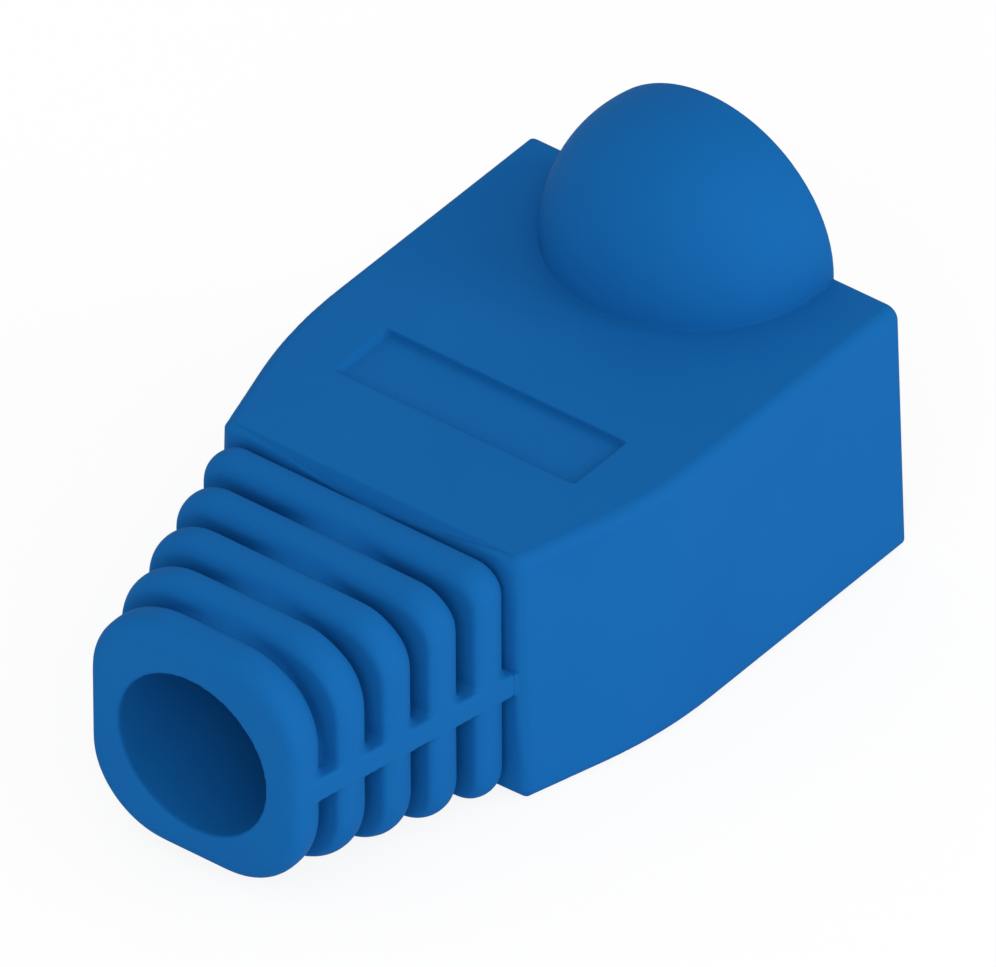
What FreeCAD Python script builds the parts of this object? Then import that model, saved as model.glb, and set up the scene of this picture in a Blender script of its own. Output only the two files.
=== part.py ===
# Slip-on strain relief boot for an eight-way modular plug, moulded in one piece of soft PVC.
#
# Frame: millimetres. +X runs along the cable axis from the cable end to the plug mouth,
# +Y is to the left and +Z is up. The origin is on the axis of the cable bore, in the
# plane of the rear face. The whole boot is one solid, so there is one node.

import FreeCAD, Part
import math
import os

V = FreeCAD.Vector
X_AXIS = V(1, 0, 0)
Z_AXIS = V(0, 0, 1)

# ---- cable end -------------------------------------------------------------------------
BORE_D = 5.6                 # hole for the cable
COLLAR_W = 8.0               # end collar, across
COLLAR_H = 8.2               # end collar, top to bottom
COLLAR_BELOW_AXIS = 4.0      # from the cable axis down to the collar's underside
COLLAR_T = 1.4               # end collar, along the cable
COLLAR_CORNER_R = 2.8        # corners of the collar's outline
COLLAR_RIM_R = 0.5           # rounding of the rim round the rear face

# ---- flexible ribs ---------------------------------------------------------------------
RIB_COUNT = 4
RIB_T = 1.32                 # thickness of a rib
RIB_CREST_R = 0.92           # radius across the crowned edge of a rib
RIB_GAP = 0.45               # groove behind each rib
NECK_GAP = 0.14              # groove between the last rib and the body
LAST_RIB_W = 10.8            # rib next to the body
LAST_RIB_H = 8.65
LAST_RIB_BELOW_AXIS = 4.15
LAST_RIB_CORNER_R = 1.0
GROOVE_REAR_DEPTH = 0.22     # least depth of the grooves, at the middle of the top and bottom
GROOVE_FRONT_DEPTH = 0.10
CORE_REAR_W = 6.9            # across the core inside the ribs, at the collar
CORE_FRONT_W = 8.2           # and at the body
WEB_H = 0.85                 # flat web along each side that ties the ribs together
WEB_PROUD = 0.03             # how far the web stands past the edges of the ribs

# ---- body ------------------------------------------------------------------------------
BODY_L = 16.8                # neck to mouth
BODY_H = 9.0
BODY_BELOW_AXIS = 4.4       # from the cable axis down to the underside
MOUTH_W = 14.4               # at half height
NECK_W = 11.5                # at half height
TAPER_DEG = 16.0             # each side, from the neck
BLEND_R = 16.0               # arc from the taper to the parallel sides
SIDE_DRAFT = 0.30            # each side is this much wider at the underside than on top
EDGE_R = 0.40                # long edges of the body
NECK_BEVEL = 0.28            # bevel round the body's rear end

# ---- hollow for the plug ---------------------------------------------------------------
PLUG_W = 11.7                # rear end of the plug that the boot slides over
PLUG_H = 6.7
PLUG_FIT = 0.1               # clearance round the plug, each side
PLUG_DEPTH = 11.0            # how far the plug goes in
FUNNEL_L = 4.2               # from the plug's hollow down to the cable bore
CAVITY_CORNER_R = 0.5

# ---- latch hood ------------------------------------------------------------------------
HOOD_R = 4.72                # outside
HOOD_BEHIND_MOUTH = 0.85     # centre of the hood, back from the mouth
HOOD_LIFT = 0.15             # centre of the hood, above the top
HOOD_WALL = 1.0
HOOD_BLEND_R = 0.40          # bevel at the foot spans a hollow corner of this radius

# ---- label panel on top ----------------------------------------------------------------
PANEL_W = 9.2
PANEL_L = 2.6
PANEL_DEPTH = 0.22
PANEL_FROM_NECK = 4.1        # from the neck to the panel's rear edge
PANEL_CORNER_R = 0.15

# ---- places that follow from the sizes -------------------------------------------------
RIB_PITCH = RIB_T + RIB_GAP
NECK_X = COLLAR_T + RIB_COUNT * RIB_PITCH + NECK_GAP
MOUTH_X = NECK_X + BODY_L
BOTTOM_Z = -BODY_BELOW_AXIS
TOP_Z = BOTTOM_Z + BODY_H
PAST = 1.0                   # cutters run this far past the faces that they cut


def rounded_section(x, width, z_low, z_high, corner_r):
    """Closed rounded rectangle in the plane X = x, centred on Y = 0."""
    y = width / 2.0
    r = min(corner_r, 0.49 * width, 0.49 * (z_high - z_low))
    k = r * (1.0 - math.sqrt(0.5))
    low, high = z_low, z_high
    edges = [
        Part.LineSegment(V(x, -y + r, low), V(x, y - r, low)),
        Part.Arc(V(x, y - r, low), V(x, y - k, low + k), V(x, y, low + r)),
        Part.LineSegment(V(x, y, low + r), V(x, y, high - r)),
        Part.Arc(V(x, y, high - r), V(x, y - k, high - k), V(x, y - r, high)),
        Part.LineSegment(V(x, y - r, high), V(x, -y + r, high)),
        Part.Arc(V(x, -y + r, high), V(x, -y + k, high - k), V(x, -y, high - r)),
        Part.LineSegment(V(x, -y, high - r), V(x, -y, low + r)),
        Part.Arc(V(x, -y, low + r), V(x, -y + k, low + k), V(x, -y + r, low)),
    ]
    return Part.Wire([edge.toShape() for edge in edges])


def prism_along_x(wire, length):
    """Solid swept from a section along +X."""
    return Part.Face(wire).extrude(X_AXIS * length)


def slab(shape, x_low, x_high):
    """Part of a shape between two planes across the cable axis."""
    half = BODY_H + HOOD_R
    keep = Part.makeBox(x_high - x_low, 2 * half, 2 * half, V(x_low, -half, -half))
    return shape.common(keep)


def part_way(first, last, share):
    return first + (last - first) * share


def edges_where(shape, test):
    """Edges of a shape whose bounding box passes the test."""
    return [edge for edge in shape.Edges if test(edge.BoundBox)]


# ---- ribbed end ------------------------------------------------------------------------
def rib_section(number, x):
    """Outline of rib 0 (the collar) up to the last rib, in the plane X = x."""
    share = number / float(RIB_COUNT)
    z_low = -part_way(COLLAR_BELOW_AXIS, LAST_RIB_BELOW_AXIS, share)
    return rounded_section(
        x,
        part_way(COLLAR_W, LAST_RIB_W, share),
        z_low,
        z_low + part_way(COLLAR_H, LAST_RIB_H, share),
        part_way(COLLAR_CORNER_R, LAST_RIB_CORNER_R, share),
    )


def make_collar():
    """End collar: rounded round the rear face and crowned like a rib at the front."""
    collar = prism_along_x(rib_section(0, 0.0), COLLAR_T - RIB_T / 2.0 + RIB_CREST_R)
    rear = edges_where(collar, lambda box: box.XMax < 0.01)
    collar = collar.makeFillet(COLLAR_RIM_R, rear)
    front = edges_where(collar, lambda box: box.XMin > COLLAR_T)
    return slab(collar.makeFillet(RIB_CREST_R, front), 0.0, COLLAR_T)


def make_rib(number):
    """One rib: a plate along the rounded outline, with a crowned edge."""
    x = COLLAR_T + RIB_GAP + (number - 1) * RIB_PITCH
    round_t = 2.04 * RIB_CREST_R
    plate = prism_along_x(rib_section(number, x + (RIB_T - round_t) / 2.0), round_t)
    rims = edges_where(plate, lambda box: box.XLength < 0.01)
    return slab(plate.makeFillet(RIB_CREST_R, rims), x, x + RIB_T)


def make_core():
    """Oval tube through the ribs, slightly tapered, which the grooves are cut down to."""
    half_h = (COLLAR_H / 2.0 - GROOVE_REAR_DEPTH, LAST_RIB_H / 2.0 - GROOVE_FRONT_DEPTH)
    half_w = (CORE_REAR_W / 2.0, CORE_FRONT_W / 2.0)
    middle = (COLLAR_H / 2.0 - COLLAR_BELOW_AXIS, LAST_RIB_H / 2.0 - LAST_RIB_BELOW_AXIS)
    rings = []
    for end, x in enumerate((COLLAR_T / 2.0, NECK_X + NECK_BEVEL)):
        top = V(x, 0, middle[end] + half_h[end])
        side = V(x, half_w[end], middle[end])
        oval = Part.Ellipse(top, side, V(x, 0, middle[end]))
        rings.append(Part.Wire([oval.toShape()]))
    return Part.makeLoft(rings, True, True)


def make_webs():
    """Flat strip along both sides, flush with the rib edges, from the collar to the body."""
    rear_y = COLLAR_W / 2.0 + WEB_PROUD
    front_y = LAST_RIB_W / 2.0 + WEB_PROUD
    rear_x = COLLAR_RIM_R
    last_x = NECK_X - NECK_GAP - RIB_T / 2.0
    slope = (front_y - rear_y) / (last_x - COLLAR_T / 2.0)
    front_x = NECK_X + NECK_BEVEL
    y_front = min(front_y + slope * (front_x - last_x), NECK_W / 2.0)
    y_rear = rear_y - slope * (COLLAR_T / 2.0 - rear_x)
    outline = Part.makePolygon([
        V(rear_x, -y_rear, 0),
        V(front_x, -y_front, 0),
        V(front_x, y_front, 0),
        V(rear_x, y_rear, 0),
        V(rear_x, -y_rear, 0),
    ])
    web = Part.Face(outline).extrude(Z_AXIS * WEB_H)
    web.translate(V(0, 0, -WEB_H / 2.0))
    return web


# ---- body ------------------------------------------------------------------------------
def side_points(half_mouth, half_neck):
    """Points of one side in plan: neck, start of the blend arc, its middle and its end."""
    turn = math.radians(TAPER_DEG)
    drop = half_mouth - half_neck
    arc_run = BLEND_R * math.sin(turn)
    arc_drop = BLEND_R * (1.0 - math.cos(turn))
    straight_run = (drop - arc_drop) / math.tan(turn)
    start_x = NECK_X + straight_run
    end_x = start_x + arc_run
    start_y = half_neck + straight_run * math.tan(turn)
    middle_x = end_x - BLEND_R * math.sin(turn / 2.0)
    middle_y = half_mouth - BLEND_R * (1.0 - math.cos(turn / 2.0))
    return [(NECK_X, half_neck), (start_x, start_y), (middle_x, middle_y), (end_x, half_mouth)]


def body_outline(z, spread):
    """Plan outline of the body at height z, each side moved out by spread."""
    neck, start, middle, end = side_points(MOUTH_W / 2.0 + spread, NECK_W / 2.0 + spread)
    left = [
        Part.LineSegment(V(neck[0], neck[1], z), V(start[0], start[1], z)),
        Part.Arc(V(start[0], start[1], z), V(middle[0], middle[1], z), V(end[0], end[1], z)),
        Part.LineSegment(V(end[0], end[1], z), V(MOUTH_X, end[1], z)),
    ]
    mouth = Part.LineSegment(V(MOUTH_X, end[1], z), V(MOUTH_X, -end[1], z))
    right = [
        Part.LineSegment(V(MOUTH_X, -end[1], z), V(end[0], -end[1], z)),
        Part.Arc(V(end[0], -end[1], z), V(middle[0], -middle[1], z), V(start[0], -start[1], z)),
        Part.LineSegment(V(start[0], -start[1], z), V(neck[0], -neck[1], z)),
    ]
    rear = Part.LineSegment(V(neck[0], -neck[1], z), V(neck[0], neck[1], z))
    return Part.Wire([edge.toShape() for edge in left + [mouth] + right + [rear]])


def make_body():
    spread = SIDE_DRAFT / 2.0
    outlines = [body_outline(BOTTOM_Z, spread), body_outline(TOP_Z, -spread)]
    body = Part.makeLoft(outlines, True, True)
    near_top = TOP_Z - 0.01
    near_bottom = BOTTOM_Z + 0.01
    long_edges = edges_where(
        body,
        lambda box: (box.ZMin > near_top or box.ZMax < near_bottom)
        and box.XLength > 0.01,
    )
    body = body.makeFillet(EDGE_R, long_edges)
    neck = edges_where(body, lambda box: box.XMax < NECK_X + 0.01)
    return body.makeChamfer(NECK_BEVEL, neck)


# ---- latch hood ------------------------------------------------------------------------
def make_hood():
    """Ball standing in the top face, with a bevelled corner at its foot, turned about Z."""
    foot_out = math.sqrt((HOOD_R + HOOD_BLEND_R) ** 2 - (HOOD_BLEND_R - HOOD_LIFT) ** 2)
    foot = V(foot_out, 0, HOOD_BLEND_R)
    centre = V(0, 0, HOOD_LIFT)
    outwards = (foot - centre).normalize()
    meeting = centre + outwards * HOOD_R
    ball_middle = centre + (outwards + Z_AXIS).normalize() * HOOD_R
    rim = V(foot_out, 0, 0)
    low = V(0, 0, -EDGE_R)
    top = V(0, 0, HOOD_LIFT + HOOD_R)
    outline = [
        Part.LineSegment(top, low),
        Part.LineSegment(low, V(foot_out, 0, -EDGE_R)),
        Part.LineSegment(V(foot_out, 0, -EDGE_R), rim),
        Part.LineSegment(rim, meeting),
        Part.Arc(meeting, ball_middle, top),
    ]
    half = Part.Face(Part.Wire([edge.toShape() for edge in outline]))
    hood = half.revolve(V(0, 0, 0), Z_AXIS, 360)
    hood.translate(V(MOUTH_X - HOOD_BEHIND_MOUTH, 0, TOP_Z))
    return slab(hood, NECK_X, MOUTH_X)


# ---- hollows ---------------------------------------------------------------------------
def cavity_section(x):
    half_w = PLUG_W / 2.0 + PLUG_FIT
    half_h = PLUG_H / 2.0 + PLUG_FIT
    middle = (TOP_Z + BOTTOM_Z) / 2.0
    return rounded_section(x, 2 * half_w, middle - half_h, middle + half_h, CAVITY_CORNER_R)


def cut_hollows(boot):
    """Plug hollow, funnel, cable bore, inside of the hood and the slot below it."""
    seat_x = MOUTH_X - PLUG_DEPTH
    funnel_x = seat_x - FUNNEL_L
    plug_hollow = prism_along_x(cavity_section(seat_x), PLUG_DEPTH + PAST)
    funnel = Part.makeCone(BORE_D / 2.0, PLUG_H / 2.0 - CAVITY_CORNER_R, FUNNEL_L,
                           V(funnel_x, 0, 0), X_AXIS)
    bore = Part.makeCylinder(BORE_D / 2.0, funnel_x + 2 * PAST, V(-PAST, 0, 0), X_AXIS)
    inner_r = HOOD_R - HOOD_WALL
    hood_x = MOUTH_X - HOOD_BEHIND_MOUTH
    hood_z = TOP_Z + HOOD_LIFT
    hood_hollow = Part.makeSphere(inner_r, V(hood_x, 0, hood_z))
    slot = Part.makeCylinder(inner_r, hood_z, V(hood_x, 0, 0))
    front_of_slot = Part.makeBox(HOOD_BEHIND_MOUTH + PAST, 2 * inner_r, hood_z,
                                 V(hood_x, -inner_r, 0))
    for cutter in (plug_hollow, funnel, bore, hood_hollow, slot, front_of_slot):
        boot = boot.cut(cutter)
    return boot


def cut_panel(boot):
    """Shallow rectangular panel across the top, left bare."""
    x = NECK_X + PANEL_FROM_NECK
    panel = Part.makeBox(PANEL_L, PANEL_W, PANEL_DEPTH + PAST,
                         V(x, -PANEL_W / 2.0, TOP_Z - PANEL_DEPTH))
    upright = edges_where(panel, lambda box: box.XLength < 0.01 and box.YLength < 0.01)
    return boot.cut(panel.makeFillet(PANEL_CORNER_R, upright))


def make_boot():
    ribbed = make_core().fuse([make_collar()] + [make_rib(n + 1) for n in range(RIB_COUNT)])
    ribbed = ribbed.fuse(make_webs())
    boot = make_body().fuse([make_hood(), ribbed]).removeSplitter()
    boot = cut_hollows(boot)
    return cut_panel(boot)


boot = make_boot()
os.makedirs("parts", exist_ok=True)
boot.exportStep("parts/boot.step")
box = boot.BoundBox
print("boot", boot.isValid(), len(boot.Solids), "solid", round(boot.Volume, 2), "mm3",
      [round(v, 2) for v in (box.XMin, box.XMax, box.YMin, box.YMax, box.ZMin, box.ZMax)])
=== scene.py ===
import math

import bmesh
import bpy
from mathutils import Matrix, Vector


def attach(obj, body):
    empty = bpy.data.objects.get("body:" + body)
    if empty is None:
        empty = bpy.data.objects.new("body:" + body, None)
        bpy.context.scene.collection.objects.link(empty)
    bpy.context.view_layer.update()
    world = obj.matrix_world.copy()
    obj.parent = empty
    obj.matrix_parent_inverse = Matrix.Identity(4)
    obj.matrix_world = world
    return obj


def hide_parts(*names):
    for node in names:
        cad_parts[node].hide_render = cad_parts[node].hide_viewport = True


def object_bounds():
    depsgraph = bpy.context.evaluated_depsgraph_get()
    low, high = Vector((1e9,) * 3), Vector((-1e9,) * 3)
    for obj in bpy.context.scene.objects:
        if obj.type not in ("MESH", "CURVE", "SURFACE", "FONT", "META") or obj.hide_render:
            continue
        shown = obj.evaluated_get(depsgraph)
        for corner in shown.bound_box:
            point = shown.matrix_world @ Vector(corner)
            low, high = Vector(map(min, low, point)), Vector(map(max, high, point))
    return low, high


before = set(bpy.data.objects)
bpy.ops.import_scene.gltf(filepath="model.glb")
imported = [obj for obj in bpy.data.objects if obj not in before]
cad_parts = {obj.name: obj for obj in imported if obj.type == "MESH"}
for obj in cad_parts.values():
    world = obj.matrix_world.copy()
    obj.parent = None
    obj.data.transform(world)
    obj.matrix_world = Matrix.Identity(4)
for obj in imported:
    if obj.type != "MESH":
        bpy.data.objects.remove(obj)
cad_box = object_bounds()

MM = 0.001

# ---- camera facts -----------------------------------------------------------------------
VIEW_AZIMUTH = math.radians(-51.9)     # turned from looking along +Y
VIEW_HEIGHT = math.radians(38.0)       # looking down
VIEW_ROLL = math.radians(-0.3)
VIEW_DISTANCE = 1.25
VIEW_WIDTH = 29.91 * MM                # what the view spans from side to side at the boot
AIM = Vector((12.7, 0.0, 0.3)) * MM    # middle of the boot
AIM_RIGHT = 1.351 * MM                 # the view's centre, right of and above that
AIM_UP = 1.697 * MM


def linear(hex_colour):
    """Turn an sRGB hex colour into linear values with full opacity."""
    channels = [int(hex_colour[i:i + 2], 16) / 255.0 for i in (1, 3, 5)]
    values = [c / 12.92 if c <= 0.04045 else ((c + 0.055) / 1.055) ** 2.4 for c in channels]
    return values + [1.0]


# ---- materials --------------------------------------------------------------------------
def new_material(name):
    material = bpy.data.materials.new(name)
    material.use_nodes = True
    material.node_tree.nodes.clear()
    return material


def add_node(material, kind, settings=None, inputs=None, links=None):
    """Add one shader node: its properties, its socket values and what feeds its sockets."""
    node = material.node_tree.nodes.new(kind)
    for name, value in (settings or {}).items():
        setattr(node, name, value)
    for name, value in (inputs or {}).items():
        node.inputs[name].default_value = value
    for name, (source, output) in (links or {}).items():
        material.node_tree.links.new(source.outputs[output], node.inputs[name])
    return node


def soft_pvc():
    """Satin blue soft PVC, injection moulded in a finely blasted mould."""
    m = new_material("moulded_soft_pvc_blue")
    place = add_node(m, "ShaderNodeTexCoord")
    # slow cloudiness of the pigment, about 5 mm across
    cloud = add_node(m, "ShaderNodeTexNoise",
                     inputs={"Scale": 200.0, "Detail": 3.0, "Roughness": 0.5},
                     links={"Vector": (place, "Object")})
    pigment = add_node(m, "ShaderNodeMix", {"data_type": "RGBA"}, links={"Factor": (cloud, "Fac")})
    pigment.inputs[6].default_value = linear("#125FA3")
    pigment.inputs[7].default_value = linear("#1465A9")
    # grain that the blasted mould leaves, about 0.12 mm from crest to crest
    grain = add_node(m, "ShaderNodeTexNoise",
                     inputs={"Scale": 8000.0, "Detail": 2.0, "Roughness": 0.55},
                     links={"Vector": (place, "Object")})
    # soft unevenness where the wall shrank as it cooled, about 4 mm across
    sink = add_node(m, "ShaderNodeTexNoise",
                    inputs={"Scale": 250.0, "Detail": 2.0, "Roughness": 0.4},
                    links={"Vector": (place, "Object")})
    gloss = add_node(m, "ShaderNodeMapRange",
                     inputs={"From Min": 0.3, "From Max": 0.7, "To Min": 0.62, "To Max": 0.70},
                     links={"Value": (grain, "Fac")})
    # every corner of a soft moulding is a little round, about 0.12 mm
    round_corners = add_node(m, "ShaderNodeBevel", {"samples": 6}, {"Radius": 0.12 * MM})
    sunk = add_node(m, "ShaderNodeBump", inputs={"Strength": 0.3, "Distance": 0.04 * MM},
                    links={"Height": (sink, "Fac"), "Normal": (round_corners, "Normal")})
    relief = add_node(m, "ShaderNodeBump", inputs={"Strength": 0.3, "Distance": 0.006 * MM},
                      links={"Height": (grain, "Fac"), "Normal": (sunk, "Normal")})
    skin = add_node(m, "ShaderNodeBsdfPrincipled",
                    inputs={"IOR": 1.53, "Specular IOR Level": 0.02},
                    links={"Base Color": (pigment, 2), "Roughness": (gloss, "Result"),
                           "Normal": (relief, "Normal")})
    add_node(m, "ShaderNodeOutputMaterial", links={"Surface": (skin, "BSDF")})
    return m


def white_paper():
    """Matt white paper. Seen from the camera it is nearly all white and keeps a faint shadow."""
    m = new_material("matt_white_paper")
    ray = add_node(m, "ShaderNodeLightPath")
    seen = add_node(m, "ShaderNodeMath", {"operation": "ADD"},
                    links={0: (ray, "Is Camera Ray"), 1: (ray, "Is Glossy Ray")})
    seen_or_through = add_node(m, "ShaderNodeMath", {"operation": "ADD", "use_clamp": True},
                               links={0: (seen, 0), 1: (ray, "Is Transmission Ray")})
    share = add_node(m, "ShaderNodeMath", {"operation": "MULTIPLY"}, {1: 0.85},
                     links={0: (seen_or_through, 0)})
    paper = add_node(m, "ShaderNodeBsdfDiffuse", inputs={"Color": linear("#F2F2F2")})
    glow = add_node(m, "ShaderNodeEmission", inputs={"Color": linear("#FFFFFF"), "Strength": 1.03})
    shown = add_node(m, "ShaderNodeMixShader",
                     links={0: (share, 0), 1: (paper, 0), 2: (glow, 0)})
    add_node(m, "ShaderNodeOutputMaterial", links={"Surface": (shown, "Shader")})
    return m


# ---- moulded boot -----------------------------------------------------------------------
# sizes of the solid, in millimetres from the cable end and from the axis of the cable bore
HOOD_X = 24.57        # axis of the latch hood
HOOD_R = 4.72
HOOD_Z = 4.75         # middle of its ball
TOP_Z = 4.6           # flat top of the body
MOUTH_X = 25.42
FOOT_Z = (TOP_Z - 0.02, TOP_Z + 0.35)   # lowest and highest corners of the bevel at the hood's foot
FOOT_REACH = (0.05, 0.50)               # how far those corners stand out from the ball
MERGE_WITHIN = 0.001
ON_PLANE = 0.01       # a corner this close to a plane or ball lies on it
CUT_X = 8.55          # in the groove between the last rib and the body
NECK_X = 8.62         # rear face of the body
NECK_BEVEL_END_X = 9.02
BORE_EDGE_R = 2.9     # between the bore's wall and what is round it
ROOT_WIDER = 1.06     # how much wider the bore of the tail's root is
TAIL_ROOT = 0.3       # how far the softened tail reaches on into the body
OUTSIDE_R = 3.05      # corners of the tail further out than this are on its outside
CREASE_FROM_Z = 3.0   # a crease grows from here to its full depth 1 mm higher
GROOVES_X = (1.62, 3.39, 5.16, 6.93)   # middles of the grooves between the ribs
GROOVE_HALF = 0.25
GROOVE_CREASE = 0.32  # deeper along the top, so that each groove still shows across the middle
NECK_CREASE = 0.30
NECK_CREASE_X = 8.38  # where the neck's crease begins on the last rib
NECK_CREASE_RUN = 0.12
GRID = 0.06           # mesh size for the tail's soft corners
SOFT_CORNER_STEPS = 10
SOFT_RIB_STEPS = 5
FACES_KEPT = 0.25     # share of the fine mesh that its form needs
PANEL_X = (12.72, 15.32)   # rear and front walls of the label panel
PANEL_HALF_WIDTH = 4.6
PANEL_Z = 4.38        # its floor
PANEL_ROUND = 0.05    # allowance round the panel when its corners are picked
PANEL_SLOPE = 0.16    # how far the short walls and the rear wall lean in
SHARP_ANGLE = math.radians(35.0)
NECK_SHARP_ANGLE = math.radians(50.0)   # lets the bevel round the neck shade as one soft edge


def merged_copy(node):
    """Copy of a frame solid as one closed mesh, in millimetres."""
    shape = bmesh.new()
    shape.from_mesh(node.data)
    bmesh.ops.remove_doubles(shape, verts=shape.verts, dist=MERGE_WITHIN * MM)
    bmesh.ops.scale(shape, verts=shape.verts, vec=(1.0 / MM,) * 3)
    return shape


def tighten_hood_foot(shape):
    """Draw the bevel at the foot of the hood in, so that the ball meets the flat top."""
    base_r = math.sqrt(HOOD_R ** 2 - (HOOD_Z - TOP_Z) ** 2)
    for vert in shape.verts:
        out = Vector((vert.co.x - HOOD_X, vert.co.y))
        if (FOOT_Z[0] < vert.co.z < FOOT_Z[1]
                and base_r + FOOT_REACH[0] < out.length < base_r + FOOT_REACH[1]):
            if abs(vert.co.x - MOUTH_X) < ON_PLANE:
                vert.co.y = math.copysign(math.sqrt(base_r ** 2 - out.x ** 2), out.y)
            else:
                vert.co.x = HOOD_X + out.x * base_r / out.length
                vert.co.y = out.y * base_r / out.length


def smooth_hood(shape):
    """Split the hood's facets and set the new corners on its ball."""
    middle = Vector((HOOD_X, 0.0, HOOD_Z))
    ball = {face for face in shape.faces
            if all(abs((vert.co - middle).length - HOOD_R) < ON_PLANE for vert in face.verts)}
    inner = [edge for edge in shape.edges if edge.link_faces and set(edge.link_faces) <= ball]
    made = bmesh.ops.subdivide_edges(shape, edges=inner, cuts=1, use_grid_fill=True)
    for part in made["geom_inner"]:
        if isinstance(part, bmesh.types.BMVert):
            part.co = middle + (part.co - middle).normalized() * HOOD_R


def slope_panel_walls(shape):
    """Lean the short walls and the rear wall of the label panel, as draft for the mould."""
    length = PANEL_X[1] - PANEL_X[0]
    for vert in shape.verts:
        if (abs(vert.co.z - PANEL_Z) < ON_PLANE
                and abs(vert.co.y) < PANEL_HALF_WIDTH + PANEL_ROUND
                and PANEL_X[0] - PANEL_ROUND < vert.co.x < PANEL_X[1] + PANEL_ROUND):
            vert.co.y *= 1.0 - PANEL_SLOPE / PANEL_HALF_WIDTH
            vert.co.x += PANEL_SLOPE * (PANEL_X[1] - vert.co.x) / length


def cut_in_groove(shape, keep_tail):
    """Keep the tail or the body and leave the cut open."""
    bmesh.ops.bisect_plane(shape, geom=shape.verts[:] + shape.edges[:] + shape.faces[:],
                           plane_co=(CUT_X, 0.0, 0.0), plane_no=(1.0, 0.0, 0.0),
                           clear_outer=keep_tail, clear_inner=not keep_tail)


def close_cut(shape):
    rim = [edge for edge in shape.edges if edge.is_boundary]
    bmesh.ops.triangle_fill(shape, edges=rim, use_beauty=True, normal=(1.0, 0.0, 0.0))
    bmesh.ops.recalc_face_normals(shape, faces=shape.faces)


def root_tail(shape):
    """Lengthen the tail into the body, its bore a little wider there so that it stays hidden."""
    rim = [edge for edge in shape.edges if edge.is_boundary]
    made = bmesh.ops.extrude_edge_only(shape, edges=rim)
    for part in made["geom"]:
        if isinstance(part, bmesh.types.BMVert):
            part.co.x += TAIL_ROOT
            if math.hypot(part.co.y, part.co.z) < BORE_EDGE_R:
                part.co.y *= ROOT_WIDER
                part.co.z *= ROOT_WIDER


def outside(vert):
    return math.hypot(vert.co.y, vert.co.z) > OUTSIDE_R


def on_top(vert):
    """Share of a crease's depth that applies here: none on the sides, all of it on top."""
    if not outside(vert):
        return 0.0
    rise = min(max(vert.co.z - CREASE_FROM_Z, 0.0), 1.0)
    return rise * rise * (3.0 - 2.0 * rise)


def crease_tail(mesh):
    """Deepen the grooves along the top of the tail."""
    for vert in mesh.vertices:
        share = on_top(vert)
        if share > 0.0:
            x = vert.co.x
            depth = sum(GROOVE_CREASE * math.exp(-((x - middle) / GROOVE_HALF) ** 2)
                        for middle in GROOVES_X)
            depth += NECK_CREASE * min(max((x - NECK_CREASE_X) / NECK_CREASE_RUN, 0.0), 1.0)
            vert.co.z -= depth * share


def crease_neck(shape):
    """Deepen the groove along the rear face of the body by as much as the tail's end."""
    core = {vert for vert in shape.verts if abs(vert.co.x - CUT_X) < MERGE_WITHIN}
    edge_of_core = {edge.other_vert(vert) for vert in core for edge in vert.link_edges}
    for vert in core | edge_of_core:
        share = on_top(vert)
        if share > 0.0:
            vert.co.z -= NECK_CREASE * share
            vert.co.x = min(vert.co.x, NECK_X)


def add_modifier(piece, name, kind, settings):
    modifier = piece.modifiers.new(name, kind)
    for setting, value in settings.items():
        setattr(modifier, setting, value)
    return modifier


def apply_modifiers(piece):
    """Make what the modifiers show the piece's own mesh."""
    bpy.context.view_layer.update()
    shown = piece.evaluated_get(bpy.context.evaluated_depsgraph_get())
    mesh = bpy.data.meshes.new_from_object(shown)
    piece.modifiers.clear()
    piece.data = mesh


def soft_tail(node, piece):
    """Collar and ribs with the soft corners and flowing grooves of a flexible moulding."""
    shape = merged_copy(node)
    cut_in_groove(shape, keep_tail=True)
    root_tail(shape)
    close_cut(shape)
    shape.to_mesh(piece.data)
    shape.free()
    add_modifier(piece, "even_mesh", "REMESH", {"mode": "VOXEL", "voxel_size": GRID})
    apply_modifiers(piece)
    crease_tail(piece.data)
    add_modifier(piece, "soft_corners", "SMOOTH", {"factor": 0.5, "iterations": SOFT_CORNER_STEPS})
    apply_modifiers(piece)
    ribs = piece.vertex_groups.new(name="ribs")
    ribs.add([vert.index for vert in piece.data.vertices if outside(vert)], 1.0, "REPLACE")
    add_modifier(piece, "flowing_ribs", "SMOOTH",
                 {"factor": 0.5, "iterations": SOFT_RIB_STEPS, "vertex_group": "ribs"})
    add_modifier(piece, "fewer_faces", "DECIMATE", {"ratio": FACES_KEPT})
    apply_modifiers(piece)


def moulded_boot(node):
    """The boot with its tail softened, and its body close to the solid."""
    piece = bpy.data.objects.new("moulded_boot", bpy.data.meshes.new("moulded_boot"))
    bpy.context.collection.objects.link(piece)
    soft_tail(node, piece)
    shape = merged_copy(node)
    tighten_hood_foot(shape)
    smooth_hood(shape)
    slope_panel_walls(shape)
    cut_in_groove(shape, keep_tail=False)
    crease_neck(shape)
    close_cut(shape)
    for edge in shape.edges:
        at_neck = max(vert.co.x for vert in edge.verts) < NECK_BEVEL_END_X
        edge.smooth = edge.calc_face_angle(0.0) < (NECK_SHARP_ANGLE if at_neck else SHARP_ANGLE)
    shape.from_mesh(piece.data)
    for face in shape.faces:
        face.smooth = True
    bmesh.ops.scale(shape, verts=shape.verts, vec=(MM,) * 3)
    mesh = bpy.data.meshes.new("moulded_boot")
    shape.to_mesh(mesh)
    shape.free()
    piece.data = mesh
    add_modifier(piece, "flat_faces_stay_flat", "WEIGHTED_NORMAL", {"keep_sharp": True})
    return piece


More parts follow.
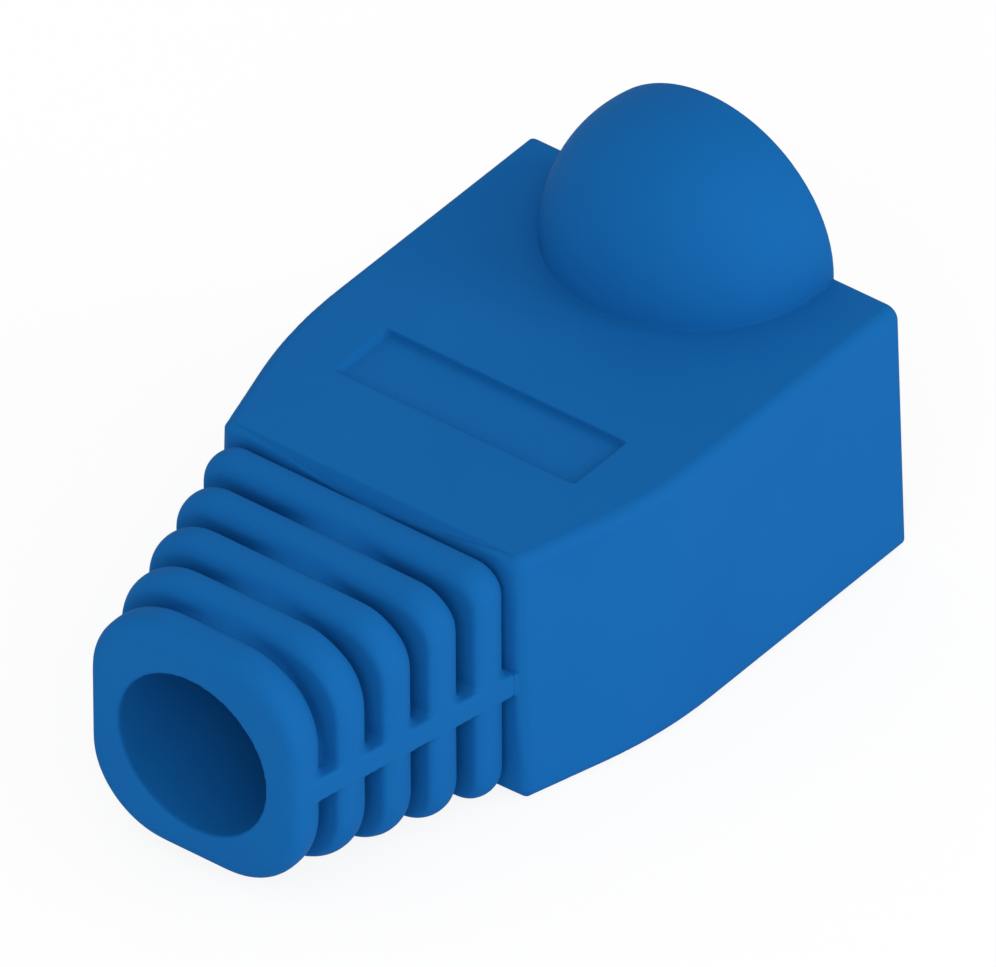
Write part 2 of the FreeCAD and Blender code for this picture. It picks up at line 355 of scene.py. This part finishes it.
boot = moulded_boot(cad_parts["boot"])
boot.data.materials.append(soft_pvc())
print("moulded_boot faces", len(boot.data.polygons))
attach(boot, "root")
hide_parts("boot")


# ---- studio -----------------------------------------------------------------------------
def studio_floor(name, side, z, material):
    mesh = bpy.data.meshes.new(name)
    shape = bmesh.new()
    bmesh.ops.create_grid(shape, x_segments=1, y_segments=1, size=side / 2.0)
    bmesh.ops.translate(shape, verts=shape.verts, vec=(0.0, 0.0, z))
    shape.to_mesh(mesh)
    shape.free()
    floor = bpy.data.objects.new(name, mesh)
    bpy.context.collection.objects.link(floor)
    floor.data.materials.append(material)
    return floor


FLOOR_GAP = 0.02 * MM     # so that the floor and the flat underside don't share a plane
floor = studio_floor("studio_floor", 3.0, cad_box[0][2] - FLOOR_GAP, white_paper())


def softbox(name, towards, distance, width, height, power):
    """Rectangular area lamp that faces the boot from the direction given."""
    lamp = bpy.data.lights.new(name, "AREA")
    lamp.shape = "RECTANGLE"
    lamp.size = width
    lamp.size_y = height
    lamp.energy = power
    holder = bpy.data.objects.new(name, lamp)
    bpy.context.collection.objects.link(holder)
    direction = Vector(towards).normalized()
    holder.location = AIM + direction * distance
    holder.rotation_euler = direction.to_track_quat("Z", "Y").to_euler()
    return holder


softbox("softbox_right", (0.33, -0.89, 0.25), 0.6, 0.4, 0.4, 1.32)
softbox("softbox_rear", (-0.70, -0.45, 0.55), 0.6, 0.4, 0.4, 1.14)

world = bpy.data.worlds.new("studio_surround")
world.use_nodes = True
world.node_tree.nodes.clear()
surround = add_node(world, "ShaderNodeBackground",
                    inputs={"Color": linear("#FFFFFF"), "Strength": 0.70})
add_node(world, "ShaderNodeOutputWorld", links={"Surface": (surround, "Background")})
bpy.context.scene.world = world


# ---- camera -----------------------------------------------------------------------------
def look_axes(azimuth, height, roll):
    """Right, up and back axes of the camera."""
    back = Vector((math.sin(azimuth) * math.cos(height), -math.cos(azimuth) * math.cos(height),
                   math.sin(height)))
    right = Vector((0, 0, 1)).cross(back).normalized()
    up = back.cross(right)
    turned_right = right * math.cos(roll) + up * math.sin(roll)
    turned_up = up * math.cos(roll) - right * math.sin(roll)
    return turned_right, turned_up, back


right, up, back = look_axes(VIEW_AZIMUTH, VIEW_HEIGHT, VIEW_ROLL)
lens = bpy.data.cameras.new("camera")
lens.sensor_width = 36.0
lens.lens = 36.0 * VIEW_DISTANCE / VIEW_WIDTH
lens.clip_start = 0.01
lens.clip_end = 10.0
camera = bpy.data.objects.new("camera", lens)
bpy.context.collection.objects.link(camera)
spot = AIM + right * AIM_RIGHT + up * AIM_UP + back * VIEW_DISTANCE
camera.matrix_world = Matrix.Translation(spot) @ Matrix((right, up, back)).transposed().to_4x4()
bpy.context.scene.camera = camera
bpy.context.scene.view_settings.view_transform = "Standard"
